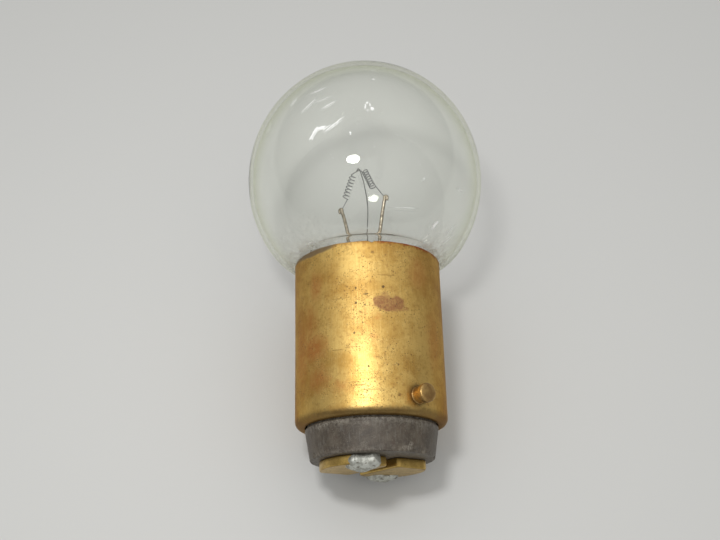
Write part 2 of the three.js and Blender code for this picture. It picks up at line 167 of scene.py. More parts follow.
def add_node(tree, kind, inputs, **settings):
    """A node with these settings; each input is a socket to link or a value."""
    made = tree.nodes.new("ShaderNode" + kind)
    for key, value in settings.items():
        setattr(made, key, value)
    for key, value in inputs.items():
        if isinstance(value, bpy.types.NodeSocket):
            tree.links.new(value, made.inputs[key])
        else:
            made.inputs[key].default_value = value
    return made


def make_camera():
    camera = add_object("camera", bpy.data.cameras.new("camera"))
    camera.data.lens = CAMERA_LENS
    camera.data.clip_start = 0.005
    camera.matrix_world = looking(CAMERA_PLACE, CAMERA_TARGET, CAMERA_ROLL)
    bpy.context.scene.camera = camera


make_camera()


def make_light():
    """A soft oval light in front of the lamp."""
    light = add_object("front_light", bpy.data.lights.new("front_light", "AREA"))
    light.data.shape = "ELLIPSE"
    light.data.size, light.data.size_y = (length * MM for length in LIGHT_SIZE)
    light.data.energy = LIGHT_WATTS
    light.visible_camera = False
    light.matrix_world = looking(LIGHT_PLACE, LIGHT_TARGET)


make_light()


def make_world():
    """Soft light from the whole sky, brightest overhead."""
    world = bpy.data.worlds.new("studio")
    bpy.context.scene.world = world
    world.use_nodes = True
    tree = world.node_tree
    direction = add_node(tree, "TexCoord", {}).outputs["Generated"]
    height = add_node(tree, "SeparateXYZ", {0: direction}).outputs[2]
    levels = {"Value": height, "To Min": SKY_LOW, "To Max": SKY_HIGH}
    rise = add_node(tree, "MapRange", levels, interpolation_type="SMOOTHSTEP")
    background = tree.nodes["Background"]
    background.inputs["Color"].default_value = SKY_COLOUR
    tree.links.new(rise.outputs[0], background.inputs["Strength"])


make_world()
bpy.context.scene.view_settings.view_transform = "Standard"

# ---- places ----


def around(azimuth, distance, height):
    """The point at this azimuth, distance from the axis and height."""
    angle = math.radians(azimuth)
    return Vector((distance * math.sin(angle), height, distance * math.cos(angle)))


def in_mount(along, height, out=0.0):
    """A point of the filament mount: along the leads' plane, up, and out of it."""
    return around(MOUNT_AZIMUTH, along, height) + around(MOUNT_AZIMUTH - 90, out, 0)


def arc(centre, radii, start, end, count):
    """Points of an elliptical arc in the (distance, height) plane, angles in degrees."""
    points = []
    for i in range(count + 1):
        angle = math.radians(start + (end - start) * i / count)
        points.append((centre[0] + radii[0] * math.cos(angle), centre[1] + radii[1] * math.sin(angle)))
    return points


def quadratic(a, b, c, count):
    """Points of a quadratic Bezier curve."""
    points = []
    for i in range(count + 1):
        t = i / count
        points.append(tuple((1 - t) ** 2 * p + 2 * t * (1 - t) * q + t * t * r for p, q, r in zip(a, b, c)))
    return points


def smooth_path(points, per_segment=WIRE_STEPS):
    """Points of a Catmull-Rom curve through the given points."""
    padded = [points[0] * 2 - points[1], *points, points[-1] * 2 - points[-2]]
    path = []
    for i in range(1, len(padded) - 2):
        p0, p1, p2, p3 = padded[i - 1 : i + 3]
        for k in range(per_segment):
            t = k / per_segment
            path.append(
                0.5 * (p1 * 2 + (p2 - p0) * t + (p0 * 2 - p1 * 5 + p2 * 4 - p3) * t**2)
                + 0.5 * (p1 * 3 - p0 - p2 * 3 + p3) * t**3
            )
    path.append(points[-1])
    return path


def ease(value, low, high):
    """0 at low, 1 at high, with a smooth ramp between."""
    t = min(max((value - low) / (high - low), 0), 1)
    return t * t * (3 - 2 * t)


# ---- meshes ----


def add_piece(name, surface, material, node, sharp=50):
    """A finished piece from (points, faces), in place of a CAD node."""
    points, faces = surface
    mesh = bpy.data.meshes.new(name)
    mesh.from_pydata([LAMP @ p for p in points], [], faces)
    place = mesh.attributes.new("lamp", "FLOAT_VECTOR", "POINT")
    place.data.foreach_set("vector", [x for p in points for x in p])
    mesh.shade_smooth()
    mesh.set_sharp_from_angle(angle=math.radians(sharp))
    mesh.materials.append(material)
    piece = add_object(name, mesh)
    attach(piece, "root")
    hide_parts(node)


def reshaped(surface, change):
    """A surface with each of its points put through a function."""
    points, faces = surface
    return [change(p) for p in points], faces


def tube_faces(rings, closed):
    """Faces between rings of point numbers; a ring may be a single point."""
    faces = []
    pairs = list(zip(rings, rings[1:])) + ([(rings[-1], rings[0])] if closed else [])
    for low, high in pairs:
        for i in range(max(len(low), len(high))):
            a, b = low[i % len(low)], low[(i + 1) % len(low)]
            c, d = high[(i + 1) % len(high)], high[i % len(high)]
            faces.append(list(dict.fromkeys((a, b, c, d))))
    return faces


def lofted(sections, closed=False):
    """Points and faces through sections, which are lists of points."""
    points, rings = [], []
    for section in sections:
        rings.append(range(len(points), len(points) + len(section)))
        points.extend(section)
    return points, tube_faces(rings, closed)


def turned(profile, segments, closed=False):
    """Points and faces of a solid turned about the axis; its outer side runs upwards."""
    sections = []
    for distance, height in profile:
        if distance < ON_AXIS:
            sections.append([Vector((0, height, 0))])
            continue
        sections.append([around(360 * i / segments, distance, height) for i in range(segments)])
    return lofted(sections, closed)


def swept(path, radius, sides):
    """Points and faces of a round wire; radius may be a function of 0 to 1 along it."""
    size = radius if callable(radius) else lambda share: radius
    tangents = [(b - a).normalized() for a, b in zip(path, path[1:])]
    tangents.append(tangents[-1])
    side = tangents[0].orthogonal().normalized()
    sections = [[path[0] - tangents[0] * size(0) * 0.5]]
    last = len(path) - 1
    for i, (point, tangent) in enumerate(zip(path, tangents)):
        side = (side - tangent * side.dot(tangent)).normalized()
        other = tangent.cross(side)
        share = i / last
        for scale, shift in end_caps(i, last):
            reach = size(share)
            centre = point + tangent * shift * reach
            ring = []
            for k in range(sides):
                angle = 2 * math.pi * k / sides
                ring.append(centre + (side * math.cos(angle) + other * math.sin(angle)) * reach * scale)
            sections.append(ring)
    sections.append([path[-1] + tangents[-1] * size(1) * 0.5])
    return lofted(sections)


def end_caps(i, last):
    """Size and shift along the wire of each ring at a point, which round the ends."""
    if i == 0:
        return [(0.6, -0.4), (0.9, -0.2), (1, 0)]
    if i == last:
        return [(1, 0), (0.9, 0.2), (0.6, 0.4)]
    return [(1, 0)]


# ---- node materials ----


class Shader:
    """A node material in the making. Its patterns lie in the lamp's coordinates."""

    def __init__(self, name):
        self.material = bpy.data.materials.new(name)
        self.material.use_nodes = True
        self.tree = self.material.node_tree
        self.tree.nodes.clear()
        self.place = self.node("Attribute", {}, attribute_name="lamp").outputs["Vector"]
        parts = self.node("SeparateXYZ", {0: self.place})
        self.height = parts.outputs[1]
        self.azimuth = self.math("ARCTAN2", parts.outputs[0], parts.outputs[2])

    def node(self, kind, inputs, **settings):
        return add_node(self.tree, kind, inputs, **settings)

    def math(self, operation, a, b=0.0, clamp=False):
        return self.node("Math", {0: a, 1: b}, operation=operation, use_clamp=clamp).outputs[0]

    def times(self, a, b):
        return self.math("MULTIPLY", a, b)

    def plus(self, a, b):
        return self.math("ADD", a, b, clamp=True)

    def vector(self, operation, a, b):
        return self.node("VectorMath", {0: a, 1: b}, operation=operation).outputs[0]

    def stretched(self, factors, place=None):
        """The place with its coordinates multiplied, to draw a pattern out."""
        return self.vector("MULTIPLY", place or self.place, factors)

    def unrolled(self, radius):
        """The wall of a cylinder laid flat: (length round it, height, 0)."""
        length = self.times(self.azimuth, radius)
        return self.node("CombineXYZ", {0: length, 1: self.height}).outputs[0]

    def noise(self, scale, detail=3.0, roughness=0.5, place=None):
        values = {"Vector": place or self.place, "Scale": scale, "Detail": detail, "Roughness": roughness}
        return self.node("TexNoise", values).outputs["Fac"]

    def specks(self, scale, size, place=None):
        """Round specks, one to a cell of the given scale: 1 inside and 0 outside."""
        cells = self.node("TexVoronoi", {"Vector": place or self.place, "Scale": scale})
        return self.ramp(cells.outputs["Distance"], size, size * 0.6)

    def ramp(self, value, low, high, top=1.0):
        """0 at low, top at high and a smooth ramp between; low may be above high."""
        inputs = {"Value": value, "From Min": low, "From Max": high, "To Max": top}
        return self.node("MapRange", inputs, interpolation_type="SMOOTHSTEP").outputs[0]

    def blend(self, factor, a, b):
        """A value between a and b."""
        return self.node("Mix", {0: factor, 2: a, 3: b}, data_type="FLOAT").outputs[0]

    def mix(self, factor, a, b):
        """A colour between a and b."""
        inputs = {0: factor, 6: opaque(a), 7: opaque(b)}
        return self.node("Mix", inputs, data_type="RGBA").outputs[2]

    def layered(self, colour, *layers):
        """A colour with others laid over it in turn, each as far as its factor says."""
        for factor, over in layers:
            colour = self.mix(factor, colour, over)
        return colour

    def shaken(self, amount, scale):
        """The place moved about by noise, which gives marks ragged edges."""
        cloud = self.node("TexNoise", {"Vector": self.place, "Scale": scale, "Detail": 4.0})
        shift = self.vector("SUBTRACT", cloud.outputs["Color"], (0.5,) * 3)
        return self.vector("ADD", self.place, self.vector("MULTIPLY", shift, (amount,) * 3))

    def mark(self, centre, along, size, soft, place):
        """A spot with half sizes (along, across, through) at a point of the surface."""
        through = Vector((centre.x, 0, centre.z)).normalized()
        long_axis = (along - through * along.dot(through)).normalized()
        cross_axis = through.cross(long_axis)
        turn = Matrix((long_axis, cross_axis, through)).transposed().to_euler()
        inputs = {"Vector": place, "Location": centre, "Rotation": turn, "Scale": size}
        inside = self.node("Mapping", inputs, vector_type="TEXTURE").outputs[0]
        length = self.node("VectorMath", {0: inside}, operation="LENGTH").outputs["Value"]
        return self.ramp(length, 1, 1 - soft)

    def marks(self, spots, ragged, soft, radius=SHELL_RADIUS):
        """Spots on a cylinder, joined; ragged is how their edges are shaken."""
        place = self.shaken(*ragged)
        total = 0.0
        for azimuth, height, wide, high, strength in spots:
            size = (wide, high, 3)
            spot = self.mark(around(azimuth, radius, height), around(azimuth + 90, 1, 0), size, soft, place)
            total = self.math("MAXIMUM", total, self.times(spot, strength))
        return total

    def bump(self, height, strength, distance):
        """distance is in millimetres."""
        inputs = {"Height": height, "Strength": strength, "Distance": distance * MM}
        return self.node("Bump", inputs).outputs[0]

    def surface(self, **values):
        """The Principled shader with these inputs, as the material's surface."""
        inputs = {key.replace("_", " "): opaque(value) for key, value in values.items()}
        shader = self.node("BsdfPrincipled", inputs).outputs[0]
        self.output = self.node("OutputMaterial", {0: shader})
        return shader


def opaque(colour):
    """A colour with full alpha; a socket is left as it is."""
    return (*colour, 1) if isinstance(colour, tuple) else colour


BRASS_LIGHT, BRASS_DEEP = (0.73, 0.5, 0.155), (0.53, 0.31, 0.07)
# BRASS_BROWN also paints the shade on the shell's sides and back.
BRASS_BROWN, BRASS_PALE = (0.34, 0.18, 0.04), (0.82, 0.61, 0.24)
BRASS_EDGE = (0.62, 0.42, 0.2)  # where the metal is seen edge on
COPPER, DARK_RED, RUST = (0.55, 0.22, 0.055), (0.27, 0.1, 0.045), (0.36, 0.06, 0.015)
# The first colour here serves tarnish, pits and grime, and also the painted shade round the pins.
TARNISH_AND_SHADE, WORN_GREY = (0.11, 0.065, 0.025), (0.12, 0.09, 0.06)

# Marks on the shell: azimuth, height, half width, half height, strength.
COPPER_STAINS = [
    (-43, 17.3, 1.6, 3.2, 0.7), (-50, 12.5, 2.2, 4.5, 0.6), (-46, 9, 3.4, 3, 1), (-42, 5, 2.8, 2.8, 0.75),
    (-62, 9, 3, 8, 0.75), (-22, 3.6, 1.6, 1.2, 0.45), (42, 18.6, 2.4, 3.6, 0.6), (56, 10, 2.2, 6, 0.6),
    (3, 9.6, 1, 0.7, 0.4), (6, 12.2, 0.7, 0.6, 0.5), (120, 12, 4, 5, 0.7), (165, 6, 3.5, 2.5, 0.6),
    (-120, 14, 3, 5.5, 0.7),
]
RED_STAINS = [
    (8.5, 14.2, 1.2, 0.95, 0.9), (21.5, 14.1, 1.2, 1.1, 0.95), (15, 13.8, 1.9, 1.05, 0.95),
    (14, 14.6, 0.9, 0.6, 0.7), (25, 13.4, 1.1, 0.45, 0.6), (12, 15.2, 0.6, 0.5, 0.5),
    (196, 15, 1.6, 1, 0.9),
]
PITTED_AREAS = [
    (-20, 17, 3.2, 3.4, 0.9), (-8, 15.5, 2, 3, 0.8), (-6, 13, 1.6, 2.6, 0.6), (16, 5, 2.6, 2.6, 0.6),
    (0, 10.5, 1.6, 1.6, 0.6),
]
DENTED_SPOTS = [
    (11, 16.2, 0.24, 0.26, 1), (-9.3, 16.1, 0.17, 0.2, 0.85), (-9.3, 14.1, 0.22, 0.2, 0.9),
    (-6, 14, 0.1, 0.12, 0.7), (-3, 13.8, 0.14, 0.14, 0.7), (-2, 15.2, 0.5, 0.1, 0.6),
    (20.5, 6.1, 0.16, 0.18, 0.8), (-1.4, 5.8, 0.15, 0.15, 0.8), (20.5, 2.3, 0.3, 0.3, 0.5),
    (-11, 10.2, 0.14, 0.2, 0.7), (4, 20.9, 0.3, 0.22, 0.5),
]
WORN_SPOTS = [
    (-46, 22.5, 4.4, 1, 1), (-66, 22.5, 3, 0.5, 0.8), (170, 22.5, 5, 0.8, 0.9),
]
FINE_CUTS = [
    (14, 17.8, 1.9, 0.09, 1), (-22, 14.9, 2, 0.09, 0.8), (-25, 8.2, 1.3, 0.1, 0.9),
    (-14, 8.4, 1.2, 0.08, 0.6), (12, 8.2, 1, 0.08, 0.4), (2, 2.9, 2.2, 0.08, 0.7),
    (-8, 3.5, 1.2, 0.08, 0.7), (4, 4.3, 1.4, 0.07, 0.5), (70, 11, 2.5, 0.06, 0.7), (150, 16, 3, 0.06, 0.7),
]


def shell_pits(s, flat):
    """Dark pits: fine ones in drifts, larger ones where the wall was knocked."""
    areas = s.marks(PITTED_AREAS, (3, 0.4), 0.8)
    drifts = s.plus(s.ramp(s.noise(0.35, 4, 0.6), 0.4, 0.6), areas)
    fine = s.times(s.specks(3.4, 0.28, flat), s.ramp(s.noise(1.1, 3, 0.6), 0.45, 0.58, 0.8))
    coarse = s.specks(1.5, 0.17, flat)
    knocks = s.marks(DENTED_SPOTS, (0.25, 4), 0.6)
    grit = s.ramp(s.noise(4.5, 5, 0.75, flat), 0.58, 0.68, 0.6)
    scattered = s.plus(fine, s.times(coarse, 0.6))
    return s.plus(s.times(s.plus(scattered, grit), drifts), knocks)


def shell_scratches(s, flat):
    """Fine rings left by turning, a few long cuts and short slanting scratches."""
    rings = s.ramp(s.noise(1.0, 3, 0.7, s.stretched((0.3, 8, 0), flat)), 0.6, 0.74)
    rings = s.times(rings, s.math("ADD", 0.15, s.ramp(s.height, 7, 3, 0.6)))
    turned_flat = s.node("VectorRotate", {0: flat, 3: 0.9}, rotation_type="Z_AXIS").outputs[0]
    slants = s.ramp(s.noise(1.0, 2, 0.5, s.stretched((0.3, 9, 1), turned_flat)), 0.68, 0.76, 0.4)
    cuts = s.marks(FINE_CUTS, (0.12, 1.5), 0.7)
    return s.plus(s.plus(rings, slants), cuts)


def shell_brass():
    """Aged golden brass: satin, cloudy, copper-stained, pitted, with a rusty upper rim, darker towards the
    lower edge, and painted shade on its sides and round the pins.
    """
    s = Shader("shell_brass")
    flat = s.unrolled(SHELL_RADIUS)
    cloud = s.ramp(s.noise(0.2, 6, 0.62), 0.36, 0.66)
    mottle = s.noise(1.5, 7, 0.7)
    grain = s.noise(9, 5, 0.7)
    drawn = s.noise(1.0, 4, 0.6, s.stretched((6, 0.3, 0), flat))
    patches = s.ramp(s.noise(0.33, 3, 0.6), 0.38, 0.62)
    speckle = s.times(s.ramp(s.noise(3.2, 6, 0.78), 0.5, 0.64, 0.42), patches)

    broken = s.ramp(s.noise(2.2, 6, 0.75), 0.35, 0.6)
    copper = s.marks(COPPER_STAINS, (1.6, 0.9), 0.9)
    copper = s.times(s.plus(copper, s.ramp(mottle, 0.55, 0.75, 0.25)), s.blend(broken, 0.55, 1.0))
    red = s.times(s.marks(RED_STAINS, (0.7, 1.6), 0.35), s.blend(broken, 0.6, 0.9))
    # Painted shade: the brass is painted browner away from the front, on its sides and back.
    sides = s.ramp(s.math("ABSOLUTE", s.math("ADD", s.azimuth, 0.1)), 0.6, 1.35)

    rim_height = s.math("ADD", s.height, s.times(s.math("SUBTRACT", mottle, 0.5), 1.6))
    top_rim = s.ramp(rim_height, SHELL_TOP - 0.55, SHELL_TOP + 0.05)
    front_right = s.times(s.ramp(s.azimuth, 0.0, 0.35), s.ramp(s.azimuth, 1.5, 0.8))
    # Painted shade, with some grime, in a dark ring round each pin's root on the shell.
    pin_grime_and_shade = [(pin, PIN_HEIGHT, 1.7, 1.7, 0.9) for pin in PIN_AZIMUTHS]
    pits, lines = shell_pits(s, flat), shell_scratches(s, flat)
    worn = s.marks(WORN_SPOTS, (0.4, 1.2), 0.3)
    colour = s.layered(
        s.mix(cloud, BRASS_LIGHT, BRASS_DEEP),
        (s.ramp(mottle, 0.5, 0.66, 0.4), BRASS_BROWN),
        (s.ramp(drawn, 0.52, 0.75, 0.2), BRASS_PALE),
        (s.ramp(drawn, 0.48, 0.3, 0.2), BRASS_BROWN),
        (speckle, BRASS_BROWN),
        (s.ramp(s.noise(2.4, 5, 0.75), 0.54, 0.7, 0.3), BRASS_PALE),
        (copper, COPPER),
        (red, DARK_RED),
        # painted shade on the sides and back
        (s.times(sides, s.blend(cloud, 0.35, 0.65)), BRASS_BROWN),
        (s.times(top_rim, s.blend(front_right, 0.25, 1.0)), RUST),
        # darker towards the rolled lower edge
        (s.ramp(rim_height, 1.3, 0.35, 0.7), TARNISH_AND_SHADE),
        # painted shade and grime round the pins
        (s.marks(pin_grime_and_shade, (0.4, 2), 0.45), TARNISH_AND_SHADE),
        (s.times(lines, 0.55), BRASS_BROWN),
        (s.times(pits, 0.85), TARNISH_AND_SHADE),
        (s.times(worn, 0.85), WORN_GREY),
    )

    satin = s.blend(s.ramp(s.height, 3, 14), 0.44, 0.56)
    rough = s.math("ADD", satin, s.times(s.math("SUBTRACT", grain, 0.5), 0.25))
    rough = s.blend(s.ramp(drawn, 0.45, 0.7, 0.35), rough, 0.4)
    rough = s.blend(s.plus(s.times(copper, 0.6), red), rough, 0.58)
    rough = s.blend(s.plus(pits, s.plus(worn, s.times(top_rim, 0.6))), rough, 0.75)
    metal = s.blend(s.times(s.plus(worn, s.times(s.plus(pits, red), 0.7)), 0.8), 1.0, 0.2)
    relief = s.math("SUBTRACT", s.times(mottle, 0.5), s.plus(pits, s.times(lines, 0.5)))
    relief = s.math("ADD", relief, s.plus(s.times(drawn, 0.15), s.times(grain, 0.12)))
    s.surface(
        Base_Color=colour, Metallic=metal, Roughness=rough, Specular_Tint=BRASS_EDGE,
        Coat_Weight=0.34, Coat_Roughness=0.42, Normal=s.bump(relief, 0.6, 0.06),
    )
    return s.material


def dull_brass(name, light, deep, grime_level):
    """Rubbed brass with grime in its hollows."""
    s = Shader(name)
    cloud = s.noise(0.9, 5, 0.6)
    grime = s.ramp(s.noise(4.5, 6, 0.65), 0.5, 0.72, grime_level)
    colour = s.mix(grime, s.mix(s.ramp(cloud, 0.35, 0.65), light, deep), TARNISH_AND_SHADE)
    rough = s.blend(grime, s.blend(cloud, 0.28, 0.42), 0.7)
    relief = s.math("SUBTRACT", s.times(cloud, 0.4), grime)
    s.surface(Base_Color=colour, Metallic=0.95, Roughness=rough, Normal=s.bump(relief, 0.5, 0.05))
    return s.material


PLUG_DARK, PLUG_LIGHT, PLUG_BROWN = (0.046, 0.033, 0.021), (0.088, 0.069, 0.048), (0.062, 0.038, 0.024)
# The pale colour at the end of the next line serves dust, grit, chips and one painted highlight.
PLUG_GRAIN, PLUG_STREAK, PLUG_PALE_AND_HIGHLIGHT = (0.16, 0.14, 0.108), (0.16, 0.15, 0.13), (0.36, 0.33, 0.27)
# Pale marks on the plug: azimuth, height, half width, half height, strength. The one at azimuth -7, height
# -3.3 is a painted highlight.
PLUG_CHIPS_AND_HIGHLIGHT = [
    (33, -3.7, 0.7, 0.35, 0.7), (35, -3.35, 0.4, 0.5, 0.7), (28, -3.8, 0.4, 0.25, 0.6),
    (-49, -0.7, 0.5, 0.5, 0.7), (-42, -0.5, 0.6, 0.35, 0.6), (-28, -0.35, 0.9, 0.3, 0.5),
    (-5, -0.9, 0.6, 0.35, 0.4), (-7, -3.3, 0.7, 0.3, 0.25), (140, -3.8, 1.4, 0.4, 0.8),
    (-130, -3.7, 1, 0.4, 0.7),
]


def plug_material():
    """Dark, matt moulded insulator: pale grit, dusty edges, small chips and a painted highlight."""
    s = Shader("insulator")
    grain = s.noise(5, 7, 0.75)
    streaks = s.noise(1, 5, 0.7, s.stretched((3, 0.5, 0), s.unrolled(PLUG_RADIUS)))
    upper = s.ramp(s.height, -1.5, -0.1)
    lower = s.ramp(s.height, PLUG_BOTTOM + 1.0, PLUG_BOTTOM + 0.1, 0.5)
    dusty = s.times(s.plus(upper, lower), s.ramp(s.noise(2.4, 6, 0.75), 0.42, 0.62, 0.55))
    grit = s.times(s.ramp(s.noise(8, 3, 0.6), 0.62, 0.68, 0.6), s.ramp(s.noise(0.9, 3), 0.4, 0.65))
    # chips, and one painted highlight
    chips = s.marks(PLUG_CHIPS_AND_HIGHLIGHT, (0.8, 3.4), 0.6, PLUG_RADIUS)
    pale = s.plus(s.plus(dusty, grit), s.times(chips, s.ramp(s.noise(7, 5, 0.7), 0.4, 0.6)))
    colour = s.layered(
        s.mix(s.ramp(s.noise(0.6, 6, 0.65), 0.35, 0.65), PLUG_DARK, PLUG_LIGHT),
        (s.ramp(grain, 0.5, 0.72, 0.7), PLUG_GRAIN),
        (s.ramp(streaks, 0.5, 0.72, 0.5), PLUG_STREAK),
        (s.ramp(s.noise(1.1, 5, 0.7), 0.5, 0.68, 0.6), PLUG_BROWN),
        (s.times(pale, 0.75), PLUG_PALE_AND_HIGHLIGHT),
    )
    rough = s.blend(grain, 0.4, 0.7)
    relief = s.math("ADD", s.times(grain, 0.6), s.times(pale, 0.4))
    s.surface(Base_Color=colour, Roughness=rough, Specular_IOR_Level=0.6, Normal=s.bump(relief, 0.7, 0.06))
    return s.material


SOLDER_LIGHT, SOLDER_DARK, SOLDER_RUBBED = (0.58, 0.59, 0.54), (0.34, 0.34, 0.3), (0.68, 0.69, 0.64)
FLUX = (0.1, 0.075, 0.045)


def solder_material():
    """Old soft solder: a dull grey skin, brighter where rubbed, with brown flux."""
    s = Shader("solder")
    fine = s.noise(6, 6, 0.7)
    flux = s.ramp(s.noise(2.1, 5, 0.65), 0.56, 0.63, 0.8)
    colour = s.layered(
        s.mix(s.ramp(s.noise(1.3, 6, 0.65), 0.38, 0.62), SOLDER_LIGHT, SOLDER_DARK),
        (s.ramp(fine, 0.5, 0.7, 0.25), SOLDER_RUBBED),
        (flux, FLUX),
    )
    rough = s.blend(flux, s.blend(fine, 0.42, 0.65), 0.8)
    metal = s.blend(flux, 0.7, 0.1)
    s.surface(Base_Color=colour, Metallic=metal, Roughness=rough, Normal=s.bump(fine, 0.35, 0.04))
    return s.material


CEMENT_LIGHT, CEMENT_DARK, CEMENT_GRAIN = (0.42, 0.33, 0.22), (0.26, 0.19, 0.12), (0.55, 0.47, 0.36)


def cement_material():
    """Crumbly brown basing cement."""
    s = Shader("cement")
    grain = s.noise(5, 8, 0.75)
    colour = s.mix(s.ramp(grain, 0.5, 0.75), s.mix(s.noise(0.8, 4), CEMENT_LIGHT, CEMENT_DARK), CEMENT_GRAIN)
    s.surface(Base_Color=colour, Roughness=0.92, Normal=s.bump(grain, 0.8, 0.12))
    return s.material


# Drawn wires: colours of metal and oxide skin, least roughness, scale of the mottling.
WIRES = {
    "nickel_wire": ((0.46, 0.4, 0.31), (0.17, 0.14, 0.1), 0.3, 3),
    "copper_wire": ((0.66, 0.32, 0.19), (0.33, 0.16, 0.09), 0.35, 3),
    "seal_wire": ((0.42, 0.13, 0.07), (0.25, 0.08, 0.05), 0.45, 3),
    "molybdenum_wire": ((0.2, 0.195, 0.185), (0.1, 0.097, 0.09), 0.4, 3),
    "tungsten_wire": ((0.3, 0.3, 0.295), (0.13, 0.13, 0.128), 0.3, 6),
}


def wire_metal(name):
    """Drawn wire with a mottled oxide skin."""
    light, dark, roughness, scale = WIRES[name]
    s = Shader(name)
    skin = s.noise(scale, 5, 0.65)
    colour = s.mix(s.ramp(skin, 0.38, 0.68), light, dark)
    rough = s.blend(skin, roughness, roughness + 0.2)
    s.surface(Base_Color=colour, Metallic=1.0, Roughness=rough, Normal=s.bump(skin, 0.3, 0.02))
    return s.material


GLASS_TINT, EDGE_TINT, STEM_TINT = (0.97, 0.98, 0.95), (0.49, 0.55, 0.17), (0.93, 0.96, 0.93)
DUST_BROWN, RUBBED_WHITE = (0.34, 0.27, 0.13), (0.95, 0.95, 0.93)

# Rubbed streaks on the globe: azimuth and height of both ends, half width, strength.
GLASS_STREAKS = [
    (-25.5, 34.5, -22.5, 35.6, 0.2, 1), (-24, 35.2, -20.5, 36.3, 0.3, 1), (-22, 35.9, -16.6, 36.1, 0.26, 1),
    (-18.5, 35.1, -8, 37.3, 0.12, 0.9), (-19.5, 35.4, -14, 36.3, 0.12, 0.7),
    (-31, 39, -22, 41.2, 0.16, 0.5), (-28, 42.1, -17.7, 42.8, 0.18, 0.4), (-20.3, 38.8, -12, 40, 0.16, 0.5),
    (-24, 40.2, -14, 40.9, 0.12, 0.3), (-38.4, 41, -35, 42.7, 0.45, 0.25), (-55, 38, -50, 40.5, 0.4, 0.15),
    (0.6, 38.1, 0.9, 39, 0.13, 0.8), (0.9, 39.1, 2.4, 39.25, 0.15, 0.9), (2.2, 39.1, 3.4, 38.6, 0.12, 0.8),
    (1, 38, 2.6, 37.9, 0.11, 0.6), (3, 38.4, 4.8, 38, 0.24, 1), (-6.6, 34.6, -5.8, 34.8, 0.2, 0.8),
    (28.6, 29.3, 29.4, 29.5, 0.2, 0.5), (5.3, 43.4, 5.7, 43.8, 0.3, 0.4), (5.3, 45.5, 5.9, 45.8, 0.3, 0.35),
    (43, 24.1, 44.8, 25.3, 0.26, 0.9), (57.7, 24.1, 59.5, 25.8, 0.12, 0.7), (61.5, 23, 64, 24.9, 0.13, 0.7),
    (41, 22.5, 43.5, 23.8, 0.12, 0.5), (-50, 23.1, -38, 23.2, 0.12, 0.4), (12, 25.6, 30, 25.9, 0.06, 0.35),
    (110, 36, 118, 38, 0.2, 0.6), (170, 31, 178, 33.5, 0.14, 0.5),
]


def let_light_through(s, glass, dimming):
    """Light passes straight through the glass, less where it is seen edge on."""
    edge = s.node("LayerWeight", {"Blend": 0.35}).outputs["Facing"]
    shade = s.mix(s.ramp(edge, 0.2, 1), (dimming,) * 3, (dimming * 0.55,) * 3)
    clear = s.node("BsdfTransparent", {0: shade}).outputs[0]
    path = s.node("LightPath", {}).outputs
    for ray in ("Is Shadow Ray", "Is Diffuse Ray"):
        glass = s.node("MixShader", {0: path[ray], 1: glass, 2: clear}).outputs[0]
    s.tree.links.new(glass, s.output.inputs[0])


def glass_film(s):
    """Brownish dust on the glass near the neck, mostly on its sides and back."""
    low = s.ramp(s.height, 27.2, 22.6)
    near = s.plus(s.times(low, 0.25), s.ramp(s.height, 23.7, 22.9, 0.4))
    away = s.math("ABSOLUTE", s.math("SUBTRACT", s.azimuth, 0.12))
    side = s.blend(s.ramp(away, 0.45, 0.85), 0.16, 1.0)
    veil = s.times(near, s.ramp(s.noise(1.2, 8, 0.75), 0.3, 0.75))
    drifts = s.ramp(s.noise(0.6, 4, 0.6), 0.38, 0.6)
    dust = s.times(s.ramp(s.noise(3.0, 6, 0.85), 0.57, 0.64, 0.85), s.times(low, drifts))
    threads = s.ramp(s.noise(1.0, 3, 0.7, s.stretched((3.5, 0.5, 3.5))), 0.64, 0.7, 0.4)
    return s.times(s.plus(s.plus(veil, dust), s.times(threads, low)), side)


def glass_streaks(s):
    """Pale rubbed streaks, chips and specks on the outside of the globe."""
    ragged = s.shaken(0.28, 2.6)
    grain = s.ramp(s.noise(4, 5, 0.7), 0.3, 0.5)
    pale = s.times(s.specks(0.5, 0.045), 0.8)
    for *ends, half_width, strength in GLASS_STREAKS:
        a, b = (around(azimuth, globe_distance(height), height) for azimuth, height in (ends[:2], ends[2:]))
        size = ((b - a).length / 2 * 1.15, half_width, 1.2)
        streak = s.mark((a + b) / 2, b - a, size, 0.6, ragged)
        pale = s.plus(pale, s.times(s.times(streak, strength), s.blend(strength, grain, 1.0)))
    return pale


def globe_glass():
    """Clear glass, yellow-green seen edge on, with dust and rubbed streaks."""
    s = Shader("globe_glass")
    film, pale = glass_film(s), glass_streaks(s)
    haze = s.plus(film, pale)
    edge = s.node("LayerWeight", {"Blend": 0.25}).outputs["Facing"]
    colour = s.mix(s.ramp(edge, 0.28, 0.8), GLASS_TINT, EDGE_TINT)
    colour = s.layered(colour, (film, DUST_BROWN), (pale, RUBBED_WHITE))
    glass = s.surface(
        Base_Color=colour, Roughness=s.blend(haze, 0.0, 0.6), IOR=1.5,
        Transmission_Weight=s.math("SUBTRACT", 1.0, s.plus(s.times(film, 0.7), s.times(pale, 0.95))),
    )
    let_light_through(s, glass, 0.96)
    return s.material


def stem_glass_material():
    """Clear stem glass with fine pressed ripples."""
    s = Shader("stem_glass")
    ripple = s.noise(1.2, 3, 0.5)
    glass = s.surface(
        Base_Color=STEM_TINT, Roughness=s.blend(ripple, 0.02, 0.08), IOR=1.5,
        Transmission_Weight=1.0, Normal=s.bump(ripple, 0.25, 0.08),
    )
    let_light_through(s, glass, 0.92)
    return s.material


def globe_distance(height):
    """The globe's outside distance from the axis at a height."""
    share = min(abs(height - GLOBE_CENTRE) / GLOBE_HALF, 1)
    return GLOBE_RADIUS * math.sqrt(1 - share * share)


# ---- base ----


